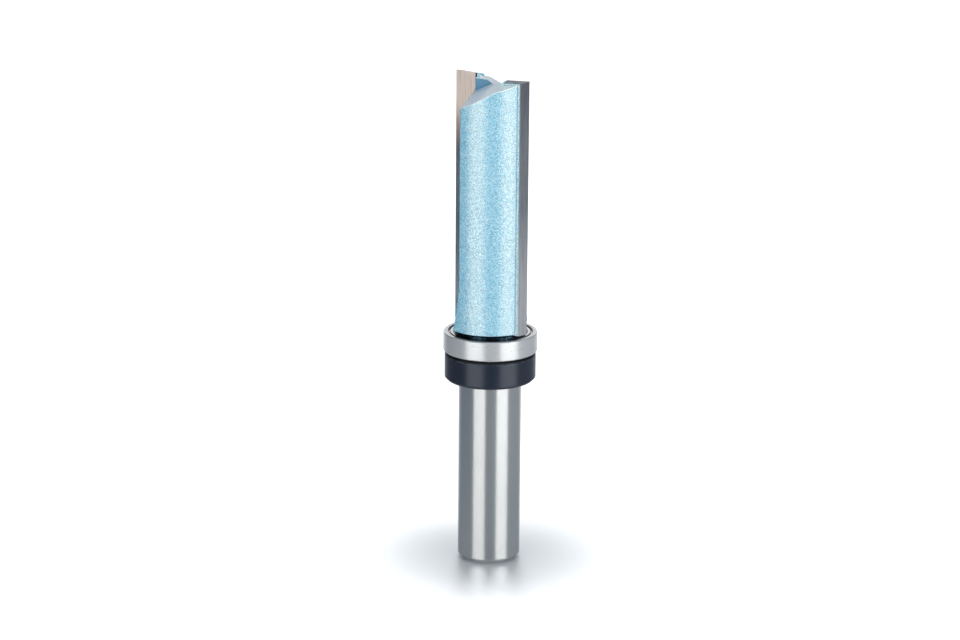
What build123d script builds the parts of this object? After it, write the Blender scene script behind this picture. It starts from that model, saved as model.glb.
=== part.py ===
from build123d import *
import math
import os

# A two-flute flush-trim router bit with a ball bearing above the shank, standing on its shank end.
# Millimetres. The axis is Z, the flat end of the shank is at z = 0 and the cutting end points up.
# Cutting edge A lies on +X and edge B on -X. Seen from the cutting end the bit turns counter-clockwise.

# Shank, half an inch across, up to the stop collar
SHANK_R = 6.35
SHANK_FREE = 38.0
SHANK_CHAMFER = 0.9
CENTRE_MARK_R = 0.9
CENTRE_MARK_DEPTH = 0.7

# Stop collar with its raised face towards the bearing
COLLAR_WALL = 2.9
COLLAR_H = 5.4
COLLAR_BORE_GAP = 0.03
COLLAR_LOW_CHAMFER = 0.55
COLLAR_TOP_CHAMFER = 0.25
COLLAR_FACE_WALL = 1.0
COLLAR_FACE_H = 0.6

# M3 set screw in the collar's wall, on the side away from the picture
SCREW_R = 1.47
SCREW_HOLE_GAP = 0.03
SCREW_SEAT_GAP = 0.01
SCREW_LENGTH = 2.5
SCREW_CHAMFER = 0.25
SCREW_ANGLE = 130
SOCKET_ACROSS_FLATS = 1.5
SOCKET_DEPTH = 1.2
POINT_R = 0.8
POINT_RIM = 0.15
POINT_CUP_DEPTH = 0.35

# Relief in the shank where the screw bites, so that its burr can't hold the collar
RELIEF_DEPTH = 0.2
RELIEF_BELOW_COLLAR = 0.3
RELIEF_PAST_SCREW = 1.3

# Thin-section ball bearing, 1/2 x 3/4 x 5/32 inch
BEARING_SECTION = 3.175
BEARING_W = 3.97
BEARING_BORE_GAP = 0.01
RING_CHAMFER = 0.18
BALL_R = 0.79375
BALLS = 15
RACE_CLEARANCE = 0.015
GROOVE_R = 1.045 * BALL_R
RACE_LAND_OFFSET = 0.495

# Shields and the snap wires that keep them in the outer ring, with depths taken from the ring's face
SHIELD_SEAT_WALL = 0.85
SHIELD_SEAT_DEPTH = 0.5
SHIELD_LIP = 0.06
SHIELD_LIP_DEPTH = 0.08
SHIELD_RIM_GAP = 0.08
SHIELD_STEP_INSET = 0.23
SHIELD_BEND = 0.12
SHIELD_THICK = 0.18
SHIELD_FACE_DEPTH = 0.08
SHIELD_GAP = 0.1
WIRE_R = 0.13
WIRE_SWEEP = 344

# Crown cage between the rings, with heights from the middle of the balls
CAGE_THICK = 0.63
CAGE_BELOW = 0.45
CAGE_ABOVE = 1.08
POCKET_GAP = 0.035

# Cutter body above the bearing, its lands set back from the cutting circle
LAND_SETBACK = 0.825
SHOULDER_WALL = 1.0
SHOULDER_H = 0.48
LAND_START = 1.15

# Carbide tips for a two-inch cut, held by their inner margin in a slot of the web
CUT_LENGTH = 51.3
TIP_CLEAR_OF_BEARING = 0.9
TIP_THICK = 2.0
TIP_WIDTH = 5.3
TIP_GRIP = 0.7
HOOK_ANGLE = 10
RELIEF_ANGLE = 12
END_DISH = 3.2
END_RELIEF = 10

# Flutes: a flat floor that runs out along an arc near the bearing
FLOOR_ANGLE = 23.6
RUN_OUT_R = 40.0
RUN_OUT_START = 12.6

# End of each land: a pad behind the tip, then a slope down to the heel with a wall at the web
PAD_ANGLE = -14
PAD_DROP = 0.6
PAD_SLOPE = 15
PAD_DISH = 3.3
GASH_DIRECTION = -136
GASH_SLOPE = 29.2
GASH_DROP = 1.86
WEB_LIP = 0.35
LIP_DROP = 1.1
GASH_FILLET_R = 1.6

# Heights that follow
COLLAR_TOP = SHANK_FREE + COLLAR_H
SCREW_Z = SHANK_FREE + COLLAR_H / 2
BEARING_Z = COLLAR_TOP + COLLAR_FACE_H
BEARING_TOP = BEARING_Z + BEARING_W
BEARING_MID = BEARING_Z + BEARING_W / 2
LAND_Z = BEARING_TOP + LAND_START
TIP_Z = BEARING_TOP + TIP_CLEAR_OF_BEARING
TIP_TOP = TIP_Z + CUT_LENGTH

# Radii that follow: the cutting edges are as far apart as the bearing is wide
COLLAR_R = SHANK_R + COLLAR_WALL
COLLAR_FACE_R = SHANK_R + COLLAR_FACE_WALL
BEARING_R = SHANK_R + BEARING_SECTION
PITCH_R = SHANK_R + BEARING_SECTION / 2
INNER_LAND_R = PITCH_R - RACE_LAND_OFFSET
OUTER_LAND_R = PITCH_R + RACE_LAND_OFFSET
SHIELD_SEAT_R = BEARING_R - SHIELD_SEAT_WALL
SHOULDER_R = SHANK_R + SHOULDER_WALL
CUT_R = BEARING_R
LAND_R = CUT_R - LAND_SETBACK

# Cutters run this far past what they cut, and the largest are blocks of this size
OVERCUT = 5.0
BIG = 80.0


def polar(radius, degrees):
    """The point at a radius and an angle round the axis."""
    angle = math.radians(degrees)
    return radius * math.cos(angle), radius * math.sin(angle)


def turned(points):
    """A solid turned about Z from (radius, height) points."""
    return revolve(Plane.XZ * make_face(Polyline(*points, close=True)), Axis.Z)


def above_plane(point, rise_x, rise_y):
    """A large block over a sloping plane through a point, given how fast it rises along X and Y."""
    plane = Plane(origin=point, z_dir=(-rise_x, -rise_y, 1))
    return plane * Box(BIG, BIG, BIG / 2, align=(Align.CENTER, Align.CENTER, Align.MIN))


def rake_frame(offset=0.0):
    """The rake face of tip A: x runs inward from the edge, y is up, z points forward out of the face."""
    inward = (-math.cos(math.radians(HOOK_ANGLE)), -math.sin(math.radians(HOOK_ANGLE)), 0)
    forward = (-math.sin(math.radians(HOOK_ANGLE)), math.cos(math.radians(HOOK_ANGLE)), 0)
    origin = Vector(CUT_R, 0, 0) + Vector(*forward) * offset
    return Plane(origin=origin, x_dir=inward, z_dir=forward)


def tip_plate(length):
    """Tip A's plain plate from its foot up, before its end is ground."""
    relief_run = TIP_THICK * math.tan(math.radians(RELIEF_ANGLE + HOOK_ANGLE))
    outline = [(0, 0), (TIP_WIDTH, 0), (TIP_WIDTH, -TIP_THICK), (relief_run, -TIP_THICK)]
    frame = rake_frame()
    corners = [frame.from_local_coords(Vector(run, 0, depth)) for run, depth in outline]
    base = make_face(Polyline(*[(c.X, c.Y) for c in corners], close=True))
    return Pos(0, 0, TIP_Z) * extrude(base, length)


def carbide_tip():
    """Tip A: a brazed plate with hook, side relief and a dished, relieved end."""
    dish = math.tan(math.radians(END_DISH))
    relief = math.tan(math.radians(END_RELIEF))
    c, s = math.cos(math.radians(HOOK_ANGLE)), math.sin(math.radians(HOOK_ANGLE))
    end = above_plane((CUT_R, 0, TIP_TOP), dish * c - relief * s, dish * s + relief * c)
    return tip_plate(CUT_LENGTH + OVERCUT) - end


def floor_offset():
    """The flute floor's distance from the axis, so that it meets the rake face at the tip's held margin."""
    bare = TIP_WIDTH - TIP_GRIP
    x = CUT_R - bare * math.cos(math.radians(HOOK_ANGLE))
    y = -bare * math.sin(math.radians(HOOK_ANGLE))
    return x * math.cos(math.radians(FLOOR_ANGLE)) + y * math.sin(math.radians(FLOOR_ANGLE))


def flute_cutter():
    """What is milled away in front of tip A, down to the run-out arc."""
    top = TIP_TOP + OVERCUT
    floor = floor_offset()
    arc_top = BEARING_TOP + RUN_OUT_START
    foot = BEARING_TOP + SHOULDER_H
    fall = arc_top - foot
    rise = RUN_OUT_R - math.sqrt(RUN_OUT_R ** 2 - fall ** 2)
    half = fall / 2
    mid = RUN_OUT_R - math.sqrt(RUN_OUT_R ** 2 - half ** 2)
    outline = [
        Line((floor, top), (floor, arc_top)),
        ThreePointArc((floor, arc_top), (floor + mid, arc_top - half), (floor + rise, foot)),
        Line((floor + rise, foot), (BIG / 2, foot)),
        Line((BIG / 2, foot), (BIG / 2, top)),
        Line((BIG / 2, top), (floor, top)),
    ]
    normal = (*polar(1, FLOOR_ANGLE), 0)
    side = (*polar(1, FLOOR_ANGLE - 90), 0)
    frame = Plane(origin=(0, 0, 0), x_dir=normal, z_dir=side)
    sweep = extrude(frame * make_face(Wire(outline)), BIG / 2, both=True)
    front = rake_frame() * Box(BIG, 3 * BIG, BIG, align=(Align.CENTER, Align.CENTER, Align.MIN))
    return sweep & front


def over_pad():
    """The block over the pad behind tip A."""
    pad_point = (*polar(LAND_R, PAD_ANGLE), TIP_TOP - PAD_DROP)
    return above_plane(pad_point, math.tan(math.radians(PAD_DISH)), math.tan(math.radians(PAD_SLOPE)))


def over_gash():
    """The block over land A's long slope down to the heel."""
    fall = math.tan(math.radians(GASH_SLOPE))
    down_x, down_y = polar(1, GASH_DIRECTION)
    return above_plane((0, 0, TIP_TOP - GASH_DROP), -fall * down_x, -fall * down_y)


def beside_wall():
    """The side of the web wall on which land A's end is ground, in front of tip B's lip."""
    wall = Rot(0, 0, 180) * rake_frame(WEB_LIP).location
    return wall * Box(BIG, 3 * BIG, BIG, align=(Align.CENTER, Align.CENTER, Align.MIN))


def end_cutters():
    """The solids that shape the body's end, with a rounded foot where the slope meets the web wall."""
    side = beside_wall()
    slope = over_gash() & side
    slope = fillet(slope.edges().filter_by(is_wall_foot), GASH_FILLET_R)
    land_a = (over_pad() & side) + slope
    over_a = over_pad() + over_gash()
    over_both = over_a & (Rot(0, 0, 180) * over_a)
    return [over_both, land_a, Rot(0, 0, 180) * land_a, over_lip(), Rot(0, 0, 180) * over_lip()]


def over_lip():
    """What is trimmed off the thin lip of the web in front of tip A."""
    lip = Box(BIG, BIG, WEB_LIP, align=(Align.CENTER, Align.MIN, Align.MIN))
    return Pos(0, 0, TIP_TOP - LIP_DROP) * (rake_frame() * lip)


def is_wall_foot(edge):
    """Whether an edge is the line in which land A's slope meets the web wall."""
    wall = Plane(Rot(0, 0, 180) * rake_frame(WEB_LIP).location)
    fall = math.tan(math.radians(GASH_SLOPE))
    down_x, down_y = polar(1, GASH_DIRECTION)
    ends = [edge.position_at(t) for t in (0, 1)]
    on_wall = all(abs(wall.to_local_coords(p).Z) < 1e-4 for p in ends)
    on_slope = all(abs(TIP_TOP - GASH_DROP - (p.X * down_x + p.Y * down_y) * fall - p.Z) < 1e-3 for p in ends)
    return on_wall and on_slope


def bit_body():
    """Shank, shoulder and fluted cutter body, turned and milled from one bar."""
    relief_r = SHANK_R - RELIEF_DEPTH
    relief_low, relief_top = SHANK_FREE - RELIEF_BELOW_COLLAR, SCREW_Z + RELIEF_PAST_SCREW
    blank = turned([
        (0, 0), (SHANK_R - SHANK_CHAMFER, 0), (SHANK_R, SHANK_CHAMFER), (SHANK_R, relief_low),
        (relief_r, relief_low), (relief_r, relief_top), (SHANK_R, relief_top), (SHANK_R, BEARING_TOP),
        (SHOULDER_R, BEARING_TOP), (SHOULDER_R, BEARING_TOP + SHOULDER_H), (LAND_R, LAND_Z),
        (LAND_R, TIP_TOP + OVERCUT), (0, TIP_TOP + OVERCUT),
    ])
    centre_mark = Cone(CENTRE_MARK_R, 0, CENTRE_MARK_DEPTH, align=(Align.CENTER, Align.CENTER, Align.MIN))
    body = blank - centre_mark
    flute = flute_cutter()
    seat = tip_plate(CUT_LENGTH + OVERCUT)
    for turn in (0, 180):
        body -= Rot(0, 0, turn) * flute
    for cutter in end_cutters():
        body -= cutter
    for turn in (0, 180):
        body -= Rot(0, 0, turn) * seat
    return body


def screw_axis(radius):
    """A frame on the set screw's axis at a distance from the bit's axis, with z pointing outward."""
    x, y = polar(radius, SCREW_ANGLE)
    return Plane(origin=(x, y, SCREW_Z), z_dir=(*polar(1, SCREW_ANGLE), 0))


def stop_collar():
    """The turned ring that holds the bearing up against the shoulder, with its tapped hole."""
    bore = SHANK_R + COLLAR_BORE_GAP
    ring = turned([
        (bore, SHANK_FREE), (COLLAR_R - COLLAR_LOW_CHAMFER, SHANK_FREE),
        (COLLAR_R, SHANK_FREE + COLLAR_LOW_CHAMFER), (COLLAR_R, COLLAR_TOP - COLLAR_TOP_CHAMFER),
        (COLLAR_R - COLLAR_TOP_CHAMFER, COLLAR_TOP), (COLLAR_FACE_R, COLLAR_TOP),
        (COLLAR_FACE_R, BEARING_Z), (bore, BEARING_Z),
    ])
    hole_r = SCREW_R + SCREW_HOLE_GAP
    hole = screw_axis(0) * Cylinder(hole_r, BIG, align=(Align.CENTER, Align.CENTER, Align.MIN))
    return ring - hole


def set_screw():
    """A cup-point set screw with a hexagon socket, its point in the shank's relief."""
    length = SCREW_LENGTH
    shape = turned([
        (0, 0), (POINT_R, 0), (SCREW_R, SCREW_R - POINT_R), (SCREW_R, length - SCREW_CHAMFER),
        (SCREW_R - SCREW_CHAMFER, length), (0, length),
    ])
    cup = Cone(POINT_R - POINT_RIM, 0, POINT_CUP_DEPTH, align=(Align.CENTER, Align.CENTER, Align.MIN))
    socket = extrude(RegularPolygon(SOCKET_ACROSS_FLATS / 2, 6, major_radius=False), SOCKET_DEPTH)
    shape = shape - cup - Pos(0, 0, length - SOCKET_DEPTH) * socket
    return screw_axis(SHANK_R - RELIEF_DEPTH + SCREW_SEAT_GAP) * shape


def race_groove(centre_r):
    """The ring-shaped groove that the balls run in."""
    return Pos(0, 0, BEARING_MID) * Torus(centre_r, GROOVE_R)


def inner_ring():
    """The bearing's inner ring, clamped between the shoulder and the collar."""
    bore = SHANK_R + BEARING_BORE_GAP
    c = RING_CHAMFER
    ring = turned([
        (bore, BEARING_Z + c), (bore + c, BEARING_Z), (INNER_LAND_R, BEARING_Z),
        (INNER_LAND_R, BEARING_TOP), (bore + c, BEARING_TOP), (bore, BEARING_TOP - c),
    ])
    return ring - race_groove(PITCH_R - BALL_R - RACE_CLEARANCE + GROOVE_R)


def outer_ring():
    """The bearing's outer ring with its raceway and a stepped seat for a shield at each face."""
    c = RING_CHAMFER
    lip_r = SHIELD_SEAT_R - SHIELD_LIP
    depths = [(lip_r, 0), (lip_r, SHIELD_LIP_DEPTH), (SHIELD_SEAT_R, SHIELD_LIP_DEPTH),
              (SHIELD_SEAT_R, SHIELD_SEAT_DEPTH), (OUTER_LAND_R, SHIELD_SEAT_DEPTH)]
    low = [(r, BEARING_Z + d) for r, d in depths]
    high = [(r, BEARING_TOP - d) for r, d in reversed(depths)]
    rim = [(BEARING_R - c, BEARING_TOP), (BEARING_R, BEARING_TOP - c),
           (BEARING_R, BEARING_Z + c), (BEARING_R - c, BEARING_Z)]
    ring = turned(low + high + rim)
    return ring - race_groove(PITCH_R + BALL_R + RACE_CLEARANCE - GROOVE_R)


def shield():
    """A pressed shield for the upper face: a low rim in the seat and a raised ring over the balls."""
    t = SHIELD_THICK
    inner = INNER_LAND_R + SHIELD_GAP
    step = OUTER_LAND_R - SHIELD_STEP_INSET
    outer = SHIELD_SEAT_R - SHIELD_RIM_GAP
    low, rim, face = SHIELD_SEAT_DEPTH, SHIELD_SEAT_DEPTH - t, SHIELD_FACE_DEPTH
    depths = [(outer, low), (outer, rim), (step, rim), (step, face + SHIELD_BEND),
              (step - SHIELD_BEND, face), (inner, face), (inner, face + t), (step - t, face + t), (step - t, low)]
    return turned([(r, BEARING_TOP - d) for r, d in depths])


def shield_wire():
    """The open snap wire that lies on the upper shield's rim inside the seat."""
    depth = SHIELD_SEAT_DEPTH - SHIELD_THICK - WIRE_R
    section = Pos(SHIELD_SEAT_R - WIRE_R, 0, BEARING_TOP - depth) * (Plane.XZ * Circle(WIRE_R))
    return revolve(section, Axis.Z, WIRE_SWEEP)


def ball_place(index):
    """The centre of one ball on the pitch circle."""
    x, y = polar(PITCH_R, 360 / BALLS * index)
    return Pos(x, y, BEARING_MID)


def cage():
    """A crown cage: a thin ring over the balls with fingers that reach down between them."""
    inner, outer = PITCH_R - CAGE_THICK / 2, PITCH_R + CAGE_THICK / 2
    low, high = BEARING_MID - CAGE_BELOW, BEARING_MID + CAGE_ABOVE
    ring = turned([(inner, low), (outer, low), (outer, high), (inner, high)])
    for index in range(BALLS):
        ring -= ball_place(index) * Sphere(BALL_R + POCKET_GAP)
    return ring


def to_lower_face(shape):
    """The same piece turned over onto the bearing's lower face."""
    return Pos(0, 0, BEARING_MID) * (Rot(180, 0, 0) * (Pos(0, 0, -BEARING_MID) * shape))


def build_parts():
    """Every piece by node name."""
    tip = carbide_tip()
    upper_shield, upper_wire = shield(), shield_wire()
    pieces = {
        "bit_body": bit_body(),
        "carbide_tip_a": tip,
        "carbide_tip_b": Rot(0, 0, 180) * tip,
        "stop_collar": stop_collar(),
        "set_screw": set_screw(),
        "bearing_inner_ring": inner_ring(),
        "bearing_outer_ring": outer_ring(),
        "bearing_cage": cage(),
        "shield_upper": upper_shield,
        "shield_lower": to_lower_face(upper_shield),
        "shield_wire_upper": upper_wire,
        "shield_wire_lower": to_lower_face(upper_wire),
    }
    for index in range(BALLS):
        pieces[f"ball_{index + 1:02d}"] = ball_place(index) * Sphere(BALL_R)
    return pieces


os.makedirs("parts", exist_ok=True)
for name, piece in build_parts().items():
    export_step(piece, f"parts/{name}.step")
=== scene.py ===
import math

import bpy
from mathutils import Matrix, Vector

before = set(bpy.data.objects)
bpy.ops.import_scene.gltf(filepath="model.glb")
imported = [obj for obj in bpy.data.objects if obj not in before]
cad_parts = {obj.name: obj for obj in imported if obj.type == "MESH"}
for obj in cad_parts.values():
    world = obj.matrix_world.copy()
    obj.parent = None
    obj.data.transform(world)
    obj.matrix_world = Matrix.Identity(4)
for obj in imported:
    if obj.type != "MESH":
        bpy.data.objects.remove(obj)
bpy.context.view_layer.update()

# Camera, placed in metres from the axis of the bit and the floor it stands on
CAMERA_AZIMUTH = 40.83
CAMERA_PITCH = 15.445
CAMERA_ROLL = 0.44
CAMERA_SIDE = -0.002120
CAMERA_BACK = -0.54654
CAMERA_HEIGHT = 0.20110
LENS_MM = 105.35

# Heights on the bit and the radius of its lands, in metres
PAINT_START = 0.0490
NECK_START = 0.0477
COLLAR_TOP = 0.0434
LAND_R = 0.0087

# The carbide tips, in metres: their lower and upper ends, the cutting edge's distance from the axis, the
# hook of their faces in radians, their thickness, how far out the paint covers their backs, where the
# bare face ends, and where the dark band beside it ends: the braze joint, darkened further as painted shade
TIP_LOW = 0.0489
TIP_TOP = 0.10017
EDGE_X = 0.009525
HOOK = math.radians(10)
TIP_BACK = 0.0020
STEP_R = 0.0091
BARE_WIDTH = 0.00445
BRAZE_END = 0.0048

# The ground end of the body, in metres: how far down it and the web's thin lip reach and over what height
# each fades out, the band beside the web wall that is given painted shade, and the painted shade line in
# the corner behind each tip
END_DEPTH = 0.0085
END_FADE = 0.0020
LIP_DEPTH = 0.0014
LIP_FADE = 0.0003
SHADE_WIDTH = 0.0025
CORNER_SHADE_WIDTH = 0.00026

# How far inside a land's surface and a tip's back face a place still counts as theirs, in metres
LAND_MARGIN = 0.0002
BACK_MARGIN = 0.00005

# How far a face points up, 1 being level: the ground slopes (0.87) lie between the first two ranges, the
# pads behind the tips (0.96) above the third
BELOW_SLOPE = (0.76, 0.84)
ABOVE_SLOPE = (0.90, 0.94)
BELOW_PAD = (0.93, 0.95)

# The radii, in metres, to which the edges of the body, tips, collar and bearing are softened
BODY_EDGE = 0.00022
TIP_EDGE = 0.00005
COLLAR_EDGE = 0.00012
RING_EDGE = 0.00008

# The glitter coating's flakes per metre, how far they lean and the gloss over them, the oxide's gloss,
# and how far both are drawn out along the bit
FLAKE_SCALE = 10500
FLAKE_LEAN = 0.15
PAINT_ROUGHNESS = 0.48
PAINT_IOR = 2.15
OXIDE_IOR = 1.62
UPRIGHT_BLUR = 0.85

# The floor and the two soft boxes that stand on it, in metres
FLOOR_SIZE = 12.0
FLOOR_DROP = 0.00002
BOX_DISTANCE = 0.75
BOX_WIDTH = 0.60
BOX_HEIGHT = 0.48
BOX_LIFT = 0.005

# Colours as the photograph shows them, from 0 to 255
PAINT_DARK = (6, 98, 150)
PAINT_MID = (62, 190, 228)
PAINT_LIGHT = (228, 250, 255)
# Painted light: the highlight along the lands' rims and the lightening of the up-facing pads
PAINTED_HIGHLIGHT = (240, 250, 252)
# Painted shade: the dim blue of the web wall and of the slope beside it
PAINTED_WALL_SHADE = (90, 132, 162)
# Painted shade: the dark line in the corner behind each tip and along the slopes' edges
PAINTED_SHADE_LINE = (52, 118, 142)
GROUND_END = (218, 234, 250)
STEEL = (202, 204, 204)
STEEL_STAIN = (186, 187, 188)
# Painted shade: the near-black neck under the body
SHADED_NECK = (26, 40, 52)
NECK_SPECK = (112, 160, 186)
GRINDING_LIGHT = (214, 208, 204)
GRINDING_DARK = (96, 92, 100)
# The braze joint along the bare face's inner edge, darkened further as painted shade
BRAZE_AND_SHADE = (24, 56, 84)
BEARING_STEEL = (211, 213, 214)
SHIELD_STEEL = (206, 206, 206)
# Painted shade: the near black of the steps and bevels on the shields and inner ring
SHIELD_STEP_SHADE = (26, 28, 32)
# Steel darkened as painted shade in the wires' grooves
SHADED_WIRE_STEEL = (90, 90, 94)
BALL_STEEL = (226, 226, 228)
OXIDE = (5, 14, 32)
OXIDE_BLOTCH = (18, 27, 44)
# The collar's rubbed top edge: partly wear, partly a painted highlight
OXIDE_WEAR_AND_GLINT = (74, 82, 96)
# Painted shade: the near black of the collar's face under the bearing
OXIDE_SHADED = (3, 4, 6)
NYLON = ((206, 196, 170), (226, 218, 196))
FLOOR = ((236, 240, 243), (240, 243, 245))
FLOOR_MIRRORED = ((160, 168, 178), (222, 226, 230))

# Linear colours: the tints of gloss, one of them dulled as painted shade on the web wall, the floor's two
# layers for the camera, the lamps and the room
WHITE = (1.0, 1.0, 1.0, 1.0)
PAINT_SHEEN = (1.0, 0.86, 0.66, 1.0)
WALL_SHADE_SHEEN = (0.08, 0.11, 0.14, 1.0)
OXIDE_SHEEN = (0.84, 0.91, 1.0, 1.0)
FLOOR_SHEEN = (0.83, 0.87, 0.91, 1.0)
FLOOR_DULL = (0.32, 0.33, 0.335, 1.0)
LAMP_COLOUR = (1.0, 0.975, 0.94)
ROOM_COLOUR = (0.80, 0.90, 1.0, 1.0)

# The carbide's tones at a few heights from the low end to the cutting end, as shares of the way: painted
# reflections that lighten and darken the ground carbide along its height
TIP_A_REFLECTIONS = (
    (0.0, (180, 184, 190)), (0.16, (178, 182, 188)), (0.28, (168, 173, 179)), (0.5, (122, 129, 136)),
    (0.77, (114, 121, 129)), (1.0, (90, 96, 105)),
)
TIP_B_REFLECTIONS = (
    (0.0, (112, 134, 150)), (0.1, (112, 134, 150)), (0.3, (74, 88, 104)), (0.68, (74, 84, 100)),
    (0.77, (166, 142, 128)), (0.86, (222, 204, 192)), (1.0, (222, 206, 196)),
)


def linear(colour):
    """A 0 to 255 colour as the linear one that Blender's sockets take."""
    parts = [c / 255 for c in colour]
    return (*[c / 12.92 if c <= 0.04045 else ((c + 0.055) / 1.055) ** 2.4 for c in parts], 1.0)


def toward(azimuth):
    """The direction from the bit at an angle to the camera's side, counted to the camera's right."""
    angle = math.radians(CAMERA_AZIMUTH + azimuth)
    return Vector((math.sin(angle), -math.cos(angle), 0))


class Nodes:
    """A tree of shader nodes with short calls to add and join them."""

    def __init__(self, tree):
        self.tree = tree
        self.tree.nodes.clear()

    def add(self, kind, **settings):
        node = self.tree.nodes.new(kind)
        for key, value in settings.items():
            setattr(node, key, value)
        return node

    def join(self, source, target):
        self.tree.links.new(source, target)

    def put(self, target, value):
        """Joins a socket to a target, or sets the target's value."""
        if isinstance(value, bpy.types.NodeSocket):
            self.join(value, target)
        else:
            target.default_value = value

    def math(self, operation, a, b=0.0):
        node = self.add("ShaderNodeMath", operation=operation)
        self.put(node.inputs[0], a)
        self.put(node.inputs[1], b)
        return node.outputs[0]

    def times(self, first, *others):
        """The product of two or more values."""
        product = first
        for other in others:
            product = self.math("MULTIPLY", product, other)
        return product

    def rest(self, share):
        """What a share leaves of the whole."""
        return self.math("SUBTRACT", 1.0, share)

    def vector(self, operation, a, b=(0, 0, 0), output="Vector"):
        node = self.add("ShaderNodeVectorMath", operation=operation)
        self.put(node.inputs[0], a)
        self.put(node.inputs[1], b)
        return node.outputs[output]

    def dot(self, a, b):
        return self.vector("DOT_PRODUCT", a, b, "Value")

    def spread(self, value, low, high, start=0.0, end=1.0, kind="SMOOTHSTEP"):
        """Goes from start to end as a value goes from low to high."""
        node = self.add("ShaderNodeMapRange", interpolation_type=kind)
        self.put(node.inputs["Value"], value)
        for name, level in (("From Min", low), ("From Max", high), ("To Min", start), ("To Max", end)):
            node.inputs[name].default_value = level
        return node.outputs["Result"]

    def mix(self, factor, a, b):
        """A colour between two."""
        node = self.add("ShaderNodeMix", data_type="RGBA")
        self.put(node.inputs[0], factor)
        self.put(node.inputs[6], a)
        self.put(node.inputs[7], b)
        return node.outputs[2]

    def mix_value(self, factor, a, b):
        node = self.add("ShaderNodeMix", data_type="FLOAT")
        self.put(node.inputs[0], factor)
        self.put(node.inputs[2], a)
        self.put(node.inputs[3], b)
        return node.outputs[0]


class Look(Nodes):
    """A material's nodes around one principled shader."""

    def __init__(self, name):
        self.material = bpy.data.materials.new(name)
        self.material.use_nodes = True
        super().__init__(self.material.node_tree)
        self.output = self.add("ShaderNodeOutputMaterial")
        self.shader = self.add("ShaderNodeBsdfPrincipled")
        self.join(self.shader.outputs[0], self.output.inputs["Surface"])
        self.place = self.add("ShaderNodeTexCoord").outputs["Object"]

    def set(self, **values):
        """Sets or joins the shader's inputs, named with _ for each space."""
        for key, value in values.items():
            self.put(self.shader.inputs[key.replace("_", " ")], value)

    def blur_upright(self, share):
        """Draws the gloss out along the bit's axis by a share."""
        tangent = self.add("ShaderNodeTangent", direction_type="RADIAL", axis="Z")
        self.set(Anisotropic=share, Anisotropic_Rotation=0.25, Tangent=tangent.outputs[0])

    def stretched(self, x, y, z):
        """The place on the object with each axis scaled."""
        return self.vector("MULTIPLY", self.place, (x, y, z))

    def along(self, direction, offset=0.0):
        """How far the place lies along a direction, plus an offset."""
        return self.math("ADD", self.dot(self.place, direction), offset)

    def height(self):
        return self.dot(self.place, (0, 0, 1))

    def radius(self):
        """How far the place lies from the bit's axis."""
        return self.vector("LENGTH", self.stretched(1.0, 1.0, 0.0), output="Value")

    def noise(self, vector, scale, detail=2.0, rough=0.5):
        node = self.add("ShaderNodeTexNoise")
        self.join(vector, node.inputs["Vector"])
        node.inputs["Scale"].default_value = scale
        node.inputs["Detail"].default_value = detail
        node.inputs["Roughness"].default_value = rough
        return node.outputs["Fac"]

    def ramp(self, factor, *stops):
        """Maps a value through (position, grey or colour) stops."""
        node = self.add("ShaderNodeValToRGB")
        self.put(node.inputs[0], factor)
        elements = node.color_ramp.elements
        while len(elements) < len(stops):
            elements.new(0.5)
        for element, (position, value) in zip(elements, stops):
            element.position = position
            element.color = value if isinstance(value, tuple) else (value, value, value, 1.0)
        return node.outputs[0]

    def bump(self, height, distance, strength, normal=None):
        node = self.add("ShaderNodeBump")
        node.inputs["Distance"].default_value = distance
        node.inputs["Strength"].default_value = strength
        self.join(height, node.inputs["Height"])
        if normal is not None:
            self.join(normal, node.inputs["Normal"])
        return node.outputs[0]

    def rounded(self, radius):
        """Normals with every edge softened to this radius."""
        node = self.add("ShaderNodeBevel", samples=6)
        node.inputs["Radius"].default_value = radius
        return node.outputs[0]

    def tilted(self, normal, tilt, amount):
        """A normal leaning by a random vector times an amount."""
        lean = self.add("ShaderNodeVectorMath", operation="SCALE")
        self.join(tilt, lean.inputs[0])
        self.put(lean.inputs["Scale"], amount)
        return self.vector("NORMALIZE", self.vector("ADD", normal, lean.outputs[0]))

    def in_object(self, normal):
        """A normal turned from the world's frame to the object's own."""
        node = self.add(
            "ShaderNodeVectorTransform", vector_type="NORMAL", convert_from="WORLD", convert_to="OBJECT"
        )
        self.join(normal, node.inputs[0])
        return node.outputs[0]

    def face(self):
        """The flat normal of each face, in the object's own frame."""
        return self.in_object(self.add("ShaderNodeNewGeometry").outputs["True Normal"])

    def upward(self, normal):
        """How far a normal points up."""
        return self.dot(normal, (0, 0, 1))

    def mix_shaders(self, factor, a, b):
        node = self.add("ShaderNodeMixShader")
        self.put(node.inputs[0], factor)
        self.join(a, node.inputs[1])
        self.join(b, node.inputs[2])
        return node.outputs[0]


def paint(n):
    """The glitter coating: the colour and the tilt of its fine flakes."""
    flakes = n.add("ShaderNodeTexVoronoi")
    flakes.inputs["Scale"].default_value = FLAKE_SCALE
    n.join(n.place, flakes.inputs["Vector"])
    parts = n.add("ShaderNodeSeparateColor")
    n.join(flakes.outputs["Color"], parts.inputs[0])
    stops = ((0.0, PAINT_DARK), (0.5, PAINT_MID), (1.0, PAINT_LIGHT))
    colour = n.ramp(parts.outputs[0], *[(share, linear(c)) for share, c in stops])
    tilt = n.vector("SUBTRACT", flakes.outputs["Color"], (0.5, 0.5, 0.5))
    return colour, tilt


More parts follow.
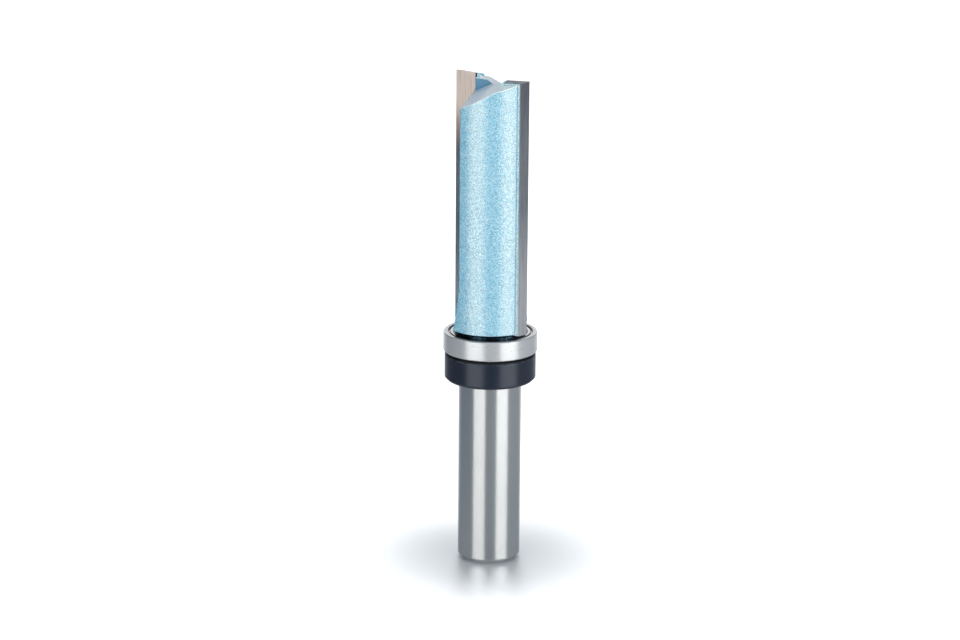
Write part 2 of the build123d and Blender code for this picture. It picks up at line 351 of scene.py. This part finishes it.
def painted_look(n, painted, bare_rough, normal, sheen=PAINT_SHEEN):
    """Sets the shader for paint with a warm sheen over bare metal, both with marks that run upright."""
    n.set(
        Metallic=n.rest(painted),
        Roughness=n.mix_value(painted, bare_rough, PAINT_ROUGHNESS),
        Normal=normal,
        IOR=PAINT_IOR,
        Specular_IOR_Level=1.0,
        Specular_Tint=n.mix(painted, WHITE, sheen),
    )
    n.blur_upright(UPRIGHT_BLUR)


def bare_body(n, height):
    """Ground steel on the shank with faint stains, and the neck above the bearing's ring: near black as
    painted shade under the body, with light specks of overspray.
    """
    stain = n.noise(n.place, 160, 3.0)
    steel = n.mix(n.times(stain, 0.35), linear(STEEL), linear(STEEL_STAIN))
    speck = n.spread(n.noise(n.place, 3200, 2.0, 0.6), 0.56, 0.66)
    # The neck is near black as painted shade under the body, with light specks of overspray
    neck = n.mix(speck, linear(SHADED_NECK), linear(NECK_SPECK))
    return n.mix(n.math("GREATER_THAN", height, NECK_START), steel, neck)


def coated_body(n, height, coat, rounded):
    """The coating's colour, with painted shade in the corner behind each tip, on the web wall and along the
    slopes' edges, the smooth ground end, and painted highlights on the pads and along the lands' rims.

    Also gives the share of the web wall, whose sheen is dulled as part of its painted shade."""
    across = (math.sin(HOOK), -math.cos(HOOK), 0.0)
    away = n.math("ABSOLUTE", n.along(across))
    behind_tip = n.math("SUBTRACT", away, TIP_BACK + EDGE_X * math.sin(HOOK))
    on_land = n.math("GREATER_THAN", n.radius(), LAND_R - LAND_MARGIN)
    # The land darkens in the corner at the foot of each tip's back: painted shade
    corner_shade = n.times(on_land, n.math("LESS_THAN", behind_tip, CORNER_SHADE_WIDTH))
    coat = n.mix(n.times(corner_shade, 0.6), coat, linear(PAINTED_SHADE_LINE))

    near_end = n.spread(height, TIP_TOP - END_DEPTH, TIP_TOP - END_DEPTH + END_FADE)
    face = n.face()
    facing_up = n.upward(face)
    facing_across = n.dot(face, across)
    slope = n.math("SUBTRACT", n.spread(facing_up, *BELOW_SLOPE), n.spread(facing_up, *ABOVE_SLOPE))
    coat = n.mix(n.times(slope, 0.8), coat, linear(GROUND_END))

    inside = n.rest(n.math("MAXIMUM", on_land, slope))
    below_lip = n.rest(n.spread(height, TIP_TOP - LIP_DEPTH, TIP_TOP - LIP_DEPTH + LIP_FADE))
    # The web wall and the slope band beside it are darkened to a dim blue: painted shade
    wall = n.times(n.spread(n.math("ABSOLUTE", facing_across), 0.20, 0.40), inside, below_lip, near_end)
    coat = n.mix(n.times(wall, 0.9), coat, linear(PAINTED_WALL_SHADE))
    from_wall = n.times(n.along(across), n.math("SIGN", facing_across))
    shade = n.times(slope, n.rest(n.spread(from_wall, 0.0, SHADE_WIDTH)))
    coat = n.mix(n.times(shade, 0.45), coat, linear(PAINTED_WALL_SHADE))
    # The up-facing pads near the end are lightened: painted light
    pad_light = n.times(n.spread(facing_up, *BELOW_PAD), near_end)
    coat = n.mix(n.times(pad_light, 0.5), coat, linear(PAINTED_HIGHLIGHT))

    # At softened edges near the end: a painted shade line on the slopes, a painted highlight on the rims
    drift = n.math("ABSOLUTE", n.math("SUBTRACT", n.upward(n.in_object(rounded)), facing_up))
    edge = n.times(n.spread(drift, 0.01, 0.05), near_end)
    coat = n.mix(n.times(edge, slope, 0.6), coat, linear(PAINTED_SHADE_LINE))
    rim_highlight = n.times(edge, n.math("LESS_THAN", facing_up, 0.3), n.rest(wall))
    return n.mix(rim_highlight, coat, linear(PAINTED_HIGHLIGHT)), wall


def body_material():
    """Bare ground steel on the shank and a glitter coating on the cutter body above the bearing."""
    n = Look("coated_steel")
    height = n.height()
    painted = n.math("GREATER_THAN", height, PAINT_START)
    flakes, tilt = paint(n)
    rounded = n.rounded(BODY_EDGE)
    coat, wall = coated_body(n, height, flakes, rounded)
    n.set(Base_Color=n.mix(painted, bare_body(n, height), coat))
    lines = n.noise(n.stretched(0.02, 0.02, 1.0), 9000, 2.0)
    normal = n.tilted(rounded, tilt, n.times(painted, FLAKE_LEAN))
    # The sheen is duller on the web wall, as part of its painted shade
    sheen = n.mix(wall, PAINT_SHEEN, WALL_SHADE_SHEEN)
    painted_look(n, painted, n.ramp(lines, (0.3, 0.25), (0.7, 0.27)), normal, sheen)
    return n.material


def bare_carbide(n, reflected_tones):
    """Ground carbide's colour, a painted reflection that changes with height, streaked along the edge,
    and the marks of its grinding.
    """
    broad = n.noise(n.stretched(1.0, 1.0, 0.03), 3800, 3.0, 0.6)
    marks = n.noise(n.stretched(1.0, 1.0, 0.02), 9000, 3.0, 0.7)
    patches = n.noise(n.stretched(1.0, 1.0, 0.25), 260, 3.0)
    level = n.math("ADD", n.height(), n.times(n.math("SUBTRACT", patches, 0.5), 0.006))
    share_up = n.spread(level, TIP_LOW, TIP_TOP, kind="LINEAR")
    tone = n.ramp(share_up, *[(share, linear(c)) for share, c in reflected_tones])
    bare = n.mix(n.ramp(marks, (0.35, 0.0), (0.65, 0.2)), tone, linear(GRINDING_LIGHT))
    return n.mix(n.times(n.spread(broad, 0.48, 0.66), 0.25), bare, linear(GRINDING_DARK)), marks


def carbide_material(name, side, reflected_tones):
    """Ground tungsten carbide with fine marks along the edge, painted over on its back and inner margin.

    The side is 1 for tip A on +X and -1 for tip B on -X."""
    n = Look(name)
    inward = n.along((-side * math.cos(HOOK), -side * math.sin(HOOK), 0.0), EDGE_X * math.cos(HOOK))
    forward = n.along((-side * math.sin(HOOK), side * math.cos(HOOK), 0.0), EDGE_X * math.sin(HOOK))
    on_back = n.math("LESS_THAN", forward, BACK_MARGIN - TIP_BACK)
    back = n.times(on_back, n.math("LESS_THAN", n.radius(), STEP_R))
    painted = n.math("MAXIMUM", back, n.math("GREATER_THAN", inward, BRAZE_END))
    # A dark band along the bare face's inner edge: the braze joint, darkened further as painted shade
    braze_and_shade = n.times(n.math("GREATER_THAN", inward, BARE_WIDTH), n.rest(painted))

    bare, marks = bare_carbide(n, reflected_tones)
    coat, tilt = paint(n)
    colour = n.mix(painted, bare, coat)
    n.set(Base_Color=n.mix(braze_and_shade, colour, linear(BRAZE_AND_SHADE)))
    ground_face = n.bump(marks, 0.00001, 0.5, n.rounded(TIP_EDGE))
    normal = n.tilted(ground_face, tilt, n.times(painted, FLAKE_LEAN))
    painted_look(n, painted, n.ramp(marks, (0.3, 0.30), (0.7, 0.42)), normal)
    return n.material


def oxide_material():
    """Turned steel with a blue-black oxide finish, near black as painted shade on the face under the
    bearing, and its top edge lightened partly by wear and partly by a painted highlight.
    """
    n = Look("black_oxide")
    turning = n.noise(n.stretched(0.03, 0.03, 1.0), 7000, 3.0, 0.7)
    blotch = n.noise(n.place, 420, 4.0, 0.6)
    # The face under the bearing is near black and rough: painted shade in the gap
    under_bearing_shade = n.spread(n.height(), COLLAR_TOP - 0.00012, COLLAR_TOP - 0.00002)
    tone = n.mix(blotch, linear(OXIDE), linear(OXIDE_BLOTCH))
    # Light nicks along the top edge: partly wear, partly a painted highlight on its chamfer
    nicks = n.spread(n.noise(n.place, 900, 3.0, 0.7), 0.42, 0.72)
    edge = n.spread(n.height(), COLLAR_TOP - 0.00040, COLLAR_TOP - 0.00022)
    wear_and_glint = n.times(edge, n.rest(under_bearing_shade), nicks)
    tone = n.mix(wear_and_glint, tone, linear(OXIDE_WEAR_AND_GLINT))
    n.set(
        Base_Color=n.mix(under_bearing_shade, tone, linear(OXIDE_SHADED)),
        Metallic=0.0,
        IOR=OXIDE_IOR,
        Specular_Tint=OXIDE_SHEEN,
        Roughness=n.mix_value(under_bearing_shade, n.ramp(turning, (0.3, 0.36), (0.7, 0.46)), 0.9),
        Normal=n.bump(turning, 0.00001, 0.35, n.rounded(COLLAR_EDGE)),
    )
    n.blur_upright(UPRIGHT_BLUR)
    return n.material


def ring_material(name, colour, fineness, low, high, upright=0.0, metal=1.0, step=None):
    """Ground bearing steel with the faint rings of its last grinding pass.

    Its roughness goes from low to high, and its gloss is drawn upright by a share. Where a step colour is
    given, it fills the steps and bevels between the flat faces as painted shade."""
    n = Look(name)
    rings = n.noise(n.stretched(0.03, 0.03, 1.0), fineness, 3.0, 0.6)
    haze = n.noise(n.place, 300, 3.0)
    darker = tuple(c * 0.9 for c in colour)
    shade = n.mix(n.times(haze, 0.5), linear(colour), linear(darker))
    if step:
        flat = n.spread(n.math("ABSOLUTE", n.upward(n.face())), 0.93, 0.99)
        shade = n.mix(flat, linear(step), shade)
    n.set(
        Base_Color=shade,
        Metallic=metal,
        Roughness=n.ramp(rings, (0.3, low), (0.7, high)),
        Normal=n.bump(rings, 0.000006, 0.16, n.rounded(RING_EDGE)),
    )
    n.blur_upright(upright)
    return n.material


def cage_material():
    """Moulded natural nylon."""
    n = Look("natural_nylon")
    cloud = n.noise(n.place, 700, 3.0)
    n.set(
        Base_Color=n.mix(cloud, *map(linear, NYLON)),
        Roughness=n.ramp(cloud, (0.3, 0.42), (0.7, 0.52)),
        Normal=n.bump(cloud, 0.00001, 0.3),
        Subsurface_Weight=0.1,
        Subsurface_Scale=0.0005,
    )
    return n.material


def dress_all():
    """Gives every CAD node's object its one material."""
    oxide = oxide_material()
    # The shields' and inner ring's steps and bevels are near black: painted shade
    shields = ring_material("pressed_shields", SHIELD_STEEL, 5000, 0.14, 0.20, step=SHIELD_STEP_SHADE)
    # The wires are dark grey: steel darkened as painted shade in their grooves
    wires = ring_material("spring_wire", SHADED_WIRE_STEEL, 7000, 0.25, 0.35)
    balls = ring_material("polished_balls", BALL_STEEL, 4000, 0.08, 0.12)
    choice = {
        "bit_body": body_material(),
        "carbide_tip_a": carbide_material("ground_carbide_a", 1, TIP_A_REFLECTIONS),
        "carbide_tip_b": carbide_material("ground_carbide_b", -1, TIP_B_REFLECTIONS),
        "stop_collar": oxide,
        "set_screw": oxide,
        "bearing_inner_ring": ring_material(
            "shaded_inner_ring", BEARING_STEEL, 6000, 0.25, 0.31, step=SHIELD_STEP_SHADE
        ),
        "bearing_outer_ring": ring_material(
            "bearing_rings", BEARING_STEEL, 6000, 0.27, 0.33, upright=0.55, metal=0.70
        ),
        "bearing_cage": cage_material(),
        "shield_upper": shields,
        "shield_lower": shields,
        "shield_wire_upper": wires,
        "shield_wire_lower": wires,
    }
    for node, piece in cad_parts.items():
        piece.data.materials.clear()
        piece.data.materials.append(choice.get(node, balls))


def floor_colour(n, mirrored):
    """The floor's base for all but the camera: pale, and dimmer in reflections, most of all on the left."""
    pale = n.mix(n.noise(n.place, 6, 2.0), *map(linear, FLOOR))
    rightward = n.spread(n.dot(n.place, toward(90)), -0.3, 0.3)
    dim = n.mix(rightward, *map(linear, FLOOR_MIRRORED))
    n.set(Base_Color=n.mix(mirrored, pale, dim), Roughness=0.3, Specular_IOR_Level=0.5)


def floor_surface(n):
    """The floor as the camera sees it, a broad soft gloss over a dull base that keeps the bit's shadow."""
    gloss = n.add("ShaderNodeBsdfGlossy")
    gloss.inputs["Color"].default_value = FLOOR_SHEEN
    gloss.inputs["Roughness"].default_value = 0.46
    dull = n.add("ShaderNodeBsdfDiffuse")
    dull.inputs["Color"].default_value = FLOOR_DULL
    return n.mix_shaders(0.68, dull.outputs[0], gloss.outputs[0])


def floor_glow(n, seen, mirrored):
    """The light that turns the floor white away from the bit, and behind the bit in its reflections."""
    distance = n.vector("LENGTH", n.place, output="Value")
    # Near the bit the glow is weaker, weakest where the bit closes off the floor: a painted contact shadow
    closed = n.add("ShaderNodeAmbientOcclusion")
    closed.inputs["Distance"].default_value = 0.02
    under = n.times(0.18, n.math("POWER", closed.outputs["AO"], 2.0))
    seen_level = n.math("ADD", under, n.spread(distance, 0.008, 0.04, end=0.6))
    behind = n.dot(n.vector("NORMALIZE", n.place), -toward(0))
    mirror_level = n.spread(distance, 0.04, 0.34, 0.14, 0.69)
    mirror_share = n.times(mirrored, n.spread(behind, 0.6, 0.9))
    strength = n.math("ADD", n.times(seen, seen_level), n.times(mirror_share, mirror_level))
    glow = n.add("ShaderNodeEmission")
    n.join(strength, glow.inputs["Strength"])
    return glow.outputs[0]


def ground():
    """A wide pale floor, slightly glossy to the camera, that turns white away from the bit."""
    n = Look("pale_floor")
    rays = n.add("ShaderNodeLightPath").outputs
    seen = rays["Is Camera Ray"]
    mirrored = n.math("MAXIMUM", rays["Is Glossy Ray"], rays["Is Transmission Ray"])
    floor_colour(n, mirrored)
    shown = n.mix_shaders(seen, n.shader.outputs[0], floor_surface(n))
    both = n.add("ShaderNodeAddShader")
    n.join(shown, both.inputs[0])
    n.join(floor_glow(n, seen, mirrored), both.inputs[1])
    n.join(both.outputs[0], n.output.inputs["Surface"])
    bpy.ops.mesh.primitive_plane_add(size=FLOOR_SIZE, location=(0, 0, -FLOOR_DROP))
    floor = bpy.context.object
    floor.name = "floor"
    floor.data.materials.append(n.material)


def panel(name, azimuth, radiance):
    """An upright soft box that stands on the floor and faces the bit."""
    data = bpy.data.lights.new(name, "AREA")
    data.shape = "RECTANGLE"
    data.size = BOX_WIDTH
    data.size_y = BOX_HEIGHT
    data.color = LAMP_COLOUR
    data.energy = radiance * BOX_WIDTH * BOX_HEIGHT * math.pi
    lamp = bpy.data.objects.new(name, data)
    bpy.context.collection.objects.link(lamp)
    lamp.location = toward(azimuth) * BOX_DISTANCE + Vector((0, 0, BOX_HEIGHT / 2 + BOX_LIFT))
    lamp.rotation_mode = "QUATERNION"
    lamp.rotation_quaternion = (-toward(azimuth)).to_track_quat("-Z", "Y")


def lights():
    panel("left_box", -38.5, 4.2)
    panel("right_box", 47.0, 4.6)


def surroundings():
    """A dim bluish room, lighter overhead and on the right, with a white backdrop behind the bit."""
    world = bpy.data.worlds.new("studio")
    bpy.context.scene.world = world
    world.use_nodes = True
    n = Nodes(world.node_tree)
    seen = n.add("ShaderNodeLightPath").outputs["Is Camera Ray"]
    direction = n.add("ShaderNodeTexCoord").outputs["Generated"]
    level = n.vector("NORMALIZE", n.vector("MULTIPLY", direction, (1, 1, 0)))
    overhead = n.spread(n.dot(direction, (0, 0, 1)), 0.4, 0.85, 0.0, 0.7)
    walls = n.spread(n.dot(level, toward(90)), -0.6, 0.8, 0.03, 0.18)
    backdrop = n.spread(n.dot(level, -toward(0)), 0.78, 0.93)
    white = n.math("MAXIMUM", backdrop, seen)
    room = n.add("ShaderNodeBackground")
    n.join(n.mix(white, ROOM_COLOUR, WHITE), room.inputs["Color"])
    strength = n.math("MAXIMUM", n.math("MAXIMUM", walls, overhead), white)
    n.join(strength, room.inputs["Strength"])
    output = n.add("ShaderNodeOutputWorld")
    n.join(room.outputs[0], output.inputs["Surface"])


def camera():
    """A long lens a little above the bit, turned slightly about its own line of sight."""
    data = bpy.data.cameras.new("camera")
    data.sensor_width = 36.0
    data.lens = LENS_MM
    data.clip_start = 0.01
    data.clip_end = 50.0
    eye = bpy.data.objects.new("camera", data)
    bpy.context.collection.objects.link(eye)
    azimuth, pitch, roll = map(math.radians, (CAMERA_AZIMUTH, CAMERA_PITCH, CAMERA_ROLL))
    right = Vector((math.cos(azimuth), math.sin(azimuth), 0))
    away = Vector((-math.sin(azimuth), math.cos(azimuth), 0))
    forward = away * math.cos(pitch) + Vector((0, 0, -math.sin(pitch)))
    up = right.cross(forward)
    turned_right = right * math.cos(roll) + up * math.sin(roll)
    turned_up = up * math.cos(roll) - right * math.sin(roll)
    place = right * CAMERA_SIDE + away * CAMERA_BACK + Vector((0, 0, CAMERA_HEIGHT))
    eye.matrix_world = Matrix((
        (turned_right.x, turned_up.x, -forward.x, place.x),
        (turned_right.y, turned_up.y, -forward.y, place.y),
        (turned_right.z, turned_up.z, -forward.z, place.z),
        (0, 0, 0, 1),
    ))
    bpy.context.scene.camera = eye


dress_all()
ground()
lights()
surroundings()
camera()
bpy.context.scene.view_settings.view_transform = "Standard"
